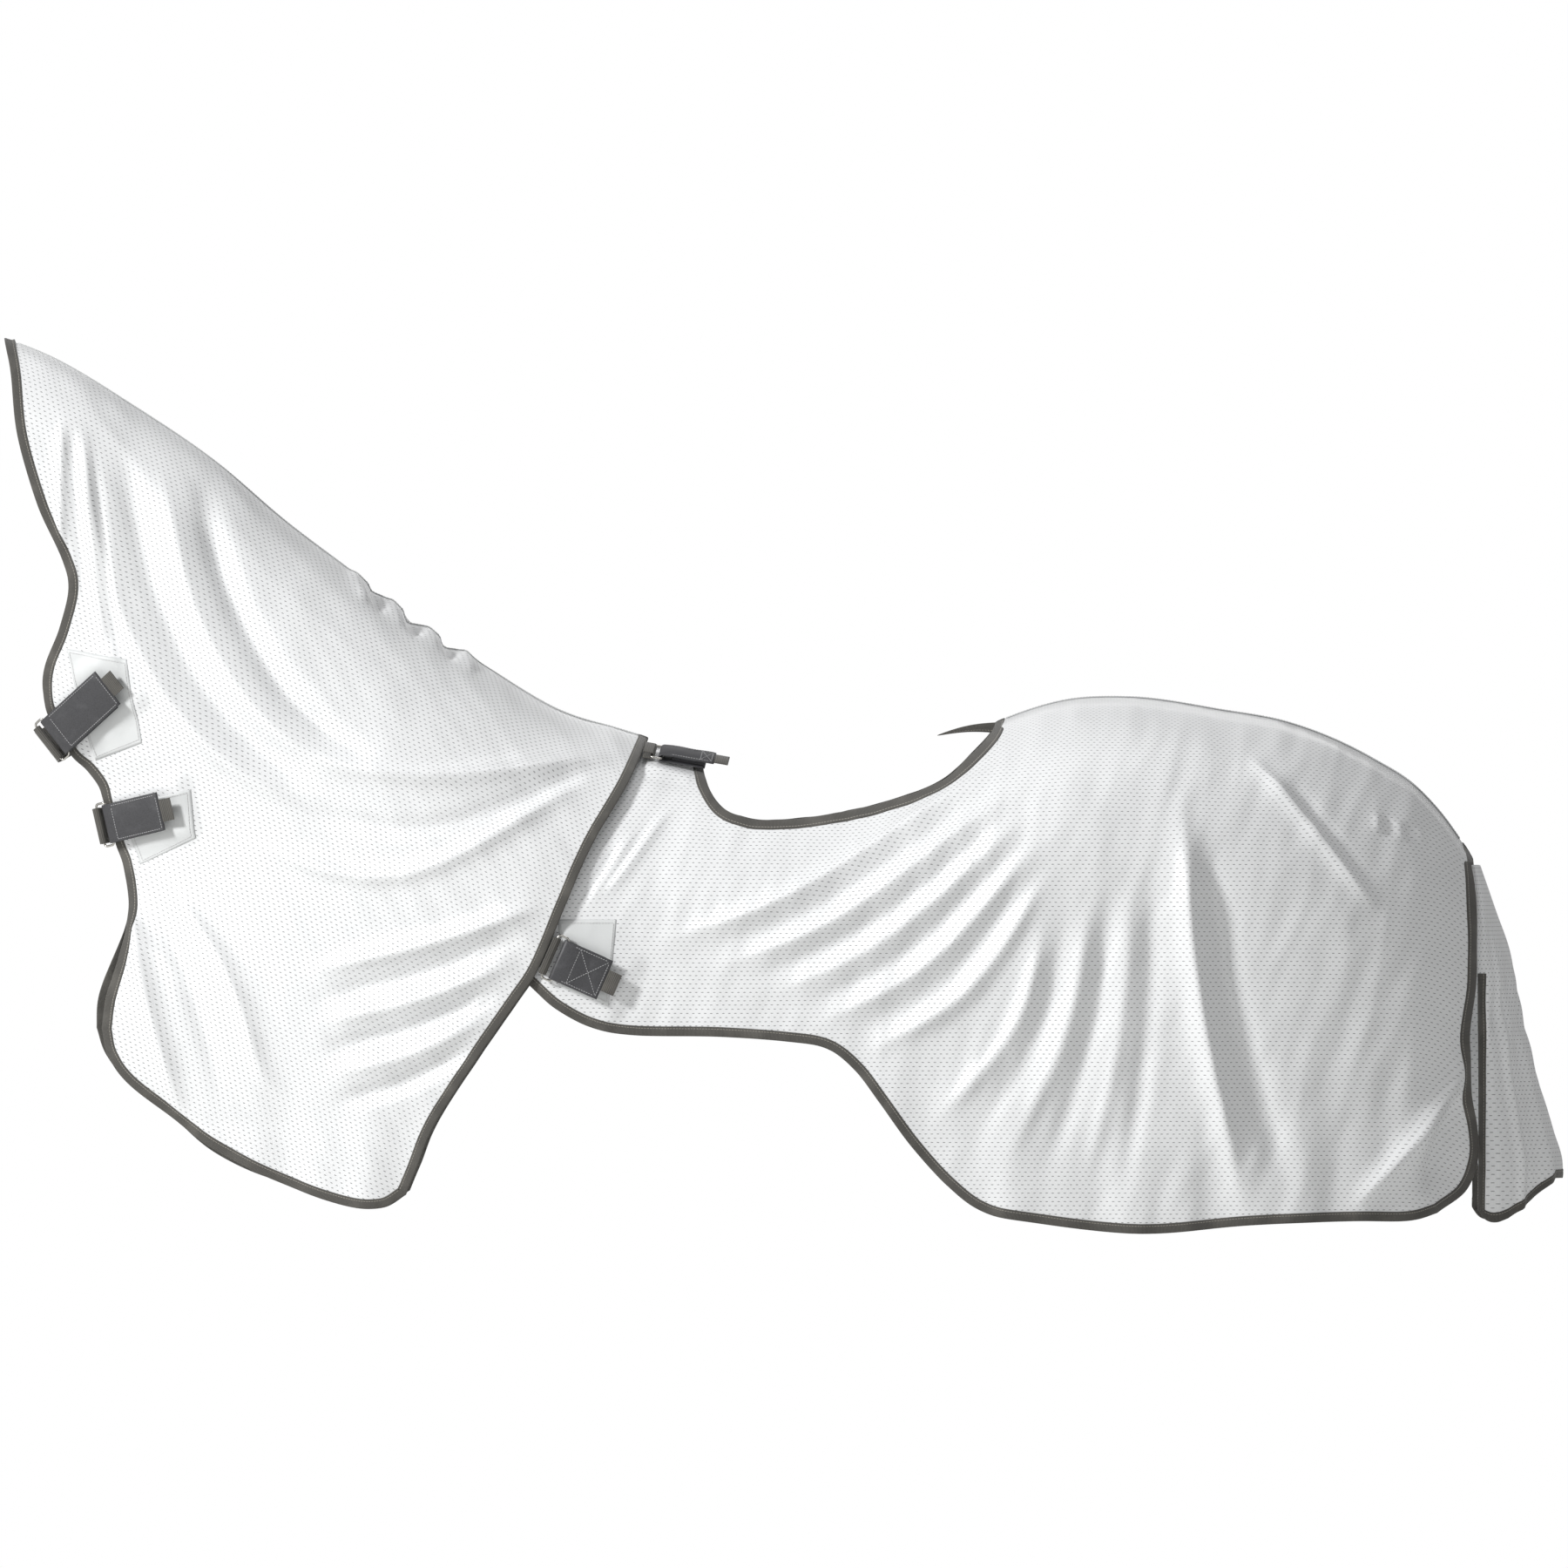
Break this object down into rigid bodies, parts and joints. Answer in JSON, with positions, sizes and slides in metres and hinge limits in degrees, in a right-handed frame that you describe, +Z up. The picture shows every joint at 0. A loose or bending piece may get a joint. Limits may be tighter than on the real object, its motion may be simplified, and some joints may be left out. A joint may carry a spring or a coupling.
{
  "type": "horse fly sheet",
  "caption": "Ride-on mesh fly sheet with a saddle cut-out, tail flap and separate neck cover, closed by hook-and-loop straps that run through wire rings.",
  "frame": {"origin": "on the centre plane at the withers, where the neck cover meets the body sheet and the sheet rests on the horse's back", "axes": "+X along the horse from head to tail, +Y to the horse's right side, +Z up"},
  "size_m": [2.2367, 0.6038, 1.281],
  "materials": {
    "mesh_cloth": "satin perforated knit",
    "plain_cloth": "satin",
    "binding_tape": "matte woven tape",
    "synthetic_leather": "smooth satin",
    "hook_tape": "matte hook tape",
    "nickel_steel": "bright nickel plate"
  },
  "bodies": {
    "body_sheet": {"body_panel_left": "mesh_cloth", "body_binding_left": "binding_tape", "saddle_binding_left": "binding_tape", "shoulder_patch_left": "plain_cloth", "body_panel_right": "mesh_cloth", "body_binding_right": "binding_tape", "saddle_binding_right": "binding_tape", "shoulder_patch_right": "plain_cloth", "withers_seam_tape": "plain_cloth", "croup_seam_tape": "plain_cloth", "tail_yoke": "mesh_cloth"},
    "neck_cover": {"neck_panel_left": "mesh_cloth", "neck_binding_left": "binding_tape", "neck_panel_right": "mesh_cloth", "neck_binding_right": "binding_tape", "crest_seam_tape": "plain_cloth", "throat_patch": "plain_cloth", "chest_patch": "plain_cloth", "throat_strap": "synthetic_leather", "throat_hook_tape": "hook_tape", "throat_keeper": "binding_tape", "chest_strap": "synthetic_leather", "chest_hook_tape": "hook_tape", "chest_keeper": "binding_tape", "shoulder_left_strap": "synthetic_leather", "shoulder_left_hook_tape": "hook_tape", "shoulder_left_keeper": "binding_tape", "shoulder_right_strap": "synthetic_leather", "shoulder_right_hook_tape": "hook_tape", "shoulder_right_keeper": "binding_tape", "withers_left_strap": "synthetic_leather", "withers_left_hook_tape": "hook_tape", "withers_left_keeper": "binding_tape", "withers_right_strap": "synthetic_leather", "withers_right_hook_tape": "hook_tape", "withers_right_keeper": "binding_tape"},
    "tail_flap": {"tail_flap": "mesh_cloth", "tail_hem_binding": "binding_tape", "tail_binding_left": "binding_tape", "tail_binding_right": "binding_tape"},
    "throat_ring_body": {"throat_ring": "nickel_steel"},
    "throat_flap_body": {"throat_flap": "synthetic_leather", "throat_pull_tab": "binding_tape"},
    "chest_ring_body": {"chest_ring": "nickel_steel"},
    "chest_flap_body": {"chest_flap": "synthetic_leather", "chest_pull_tab": "binding_tape"},
    "shoulder_left_ring_body": {"shoulder_left_ring": "nickel_steel"},
    "shoulder_left_flap_body": {"shoulder_left_flap": "synthetic_leather", "shoulder_left_pull_tab": "binding_tape"},
    "shoulder_right_ring_body": {"shoulder_right_ring": "nickel_steel"},
    "shoulder_right_flap_body": {"shoulder_right_flap": "synthetic_leather", "shoulder_right_pull_tab": "binding_tape"},
    "withers_left_ring_body": {"withers_left_ring": "nickel_steel"},
    "withers_left_flap_body": {"withers_left_flap": "synthetic_leather", "withers_left_pull_tab": "binding_tape"},
    "withers_right_ring_body": {"withers_right_ring": "nickel_steel"},
    "withers_right_flap_body": {"withers_right_flap": "synthetic_leather", "withers_right_pull_tab": "binding_tape"}
  },
  "joints": [
    {"name": "neck_raise", "type": "hinge", "parent": "body_sheet", "child": "neck_cover", "pos_m": [0, 0, 0], "axis": [0, 1, 0], "range_deg": [0, 4]},
    {"name": "tail_lift", "type": "hinge", "parent": "body_sheet", "child": "tail_flap", "pos_m": [1.2445, 0, -0.356], "axis": [0, -1, 0], "range_deg": [0, 45]},
    {"name": "throat_ring_tilt", "type": "hinge", "parent": "neck_cover", "child": "throat_ring_body", "pos_m": [-0.86031, -0.03647, -0.00949], "axis": [-0.6135, 0.1261, 0.7796], "range_deg": [-5, 5]},
    {"name": "throat_peel", "type": "hinge", "parent": "neck_cover", "child": "throat_flap_body", "pos_m": [-0.84825, -0.0525, 0.0026], "axis": [0.6135, -0.1261, -0.7796], "range_deg": [0, 150]},
    {"name": "chest_ring_tilt", "type": "hinge", "parent": "neck_cover", "child": "chest_ring_body", "pos_m": [-0.78587, -0.03934, -0.12861], "axis": [-0.2244, 0.0117, 0.9744], "range_deg": [-5, 5]},
    {"name": "chest_peel", "type": "hinge", "parent": "neck_cover", "child": "chest_flap_body", "pos_m": [-0.77117, -0.05721, -0.12501], "axis": [0.2244, -0.0117, -0.9744], "range_deg": [0, 150]},
    {"name": "shoulder_left_ring_tilt", "type": "hinge", "parent": "neck_cover", "child": "shoulder_left_ring_body", "pos_m": [-0.13959, -0.24912, -0.31366], "axis": [0.4023, -0.0298, 0.915], "range_deg": [-5, 5]},
    {"name": "shoulder_left_peel", "type": "hinge", "parent": "neck_cover", "child": "shoulder_left_flap_body", "pos_m": [-0.11955, -0.25713, -0.32274], "axis": [-0.4023, 0.0298, -0.915], "range_deg": [0, 130]},
    {"name": "shoulder_right_ring_tilt", "type": "hinge", "parent": "neck_cover", "child": "shoulder_right_ring_body", "pos_m": [-0.13959, 0.24912, -0.31366], "axis": [-0.4023, -0.0298, -0.915], "range_deg": [-5, 5]},
    {"name": "shoulder_right_peel", "type": "hinge", "parent": "neck_cover", "child": "shoulder_right_flap_body", "pos_m": [-0.11955, 0.25713, -0.32274], "axis": [0.4023, 0.0298, 0.915], "range_deg": [0, 130]},
    {"name": "withers_left_ring_tilt", "type": "hinge", "parent": "neck_cover", "child": "withers_left_ring_body", "pos_m": [0.00532, -0.09438, -0.02153], "axis": [0.0897, 0.9381, 0.3345], "range_deg": [-5, 5]},
    {"name": "withers_left_peel", "type": "hinge", "parent": "neck_cover", "child": "withers_left_flap_body", "pos_m": [0.02845, -0.09736, -0.01935], "axis": [-0.0897, -0.9381, -0.3345], "range_deg": [0, 110]},
    {"name": "withers_right_ring_tilt", "type": "hinge", "parent": "neck_cover", "child": "withers_right_ring_body", "pos_m": [0.00532, 0.09438, -0.02153], "axis": [-0.0897, 0.9381, -0.3345], "range_deg": [-5, 5]},
    {"name": "withers_right_peel", "type": "hinge", "parent": "neck_cover", "child": "withers_right_flap_body", "pos_m": [0.02845, 0.09736, -0.01935], "axis": [0.0897, -0.9381, 0.3345], "range_deg": [0, 110]}
  ]
}
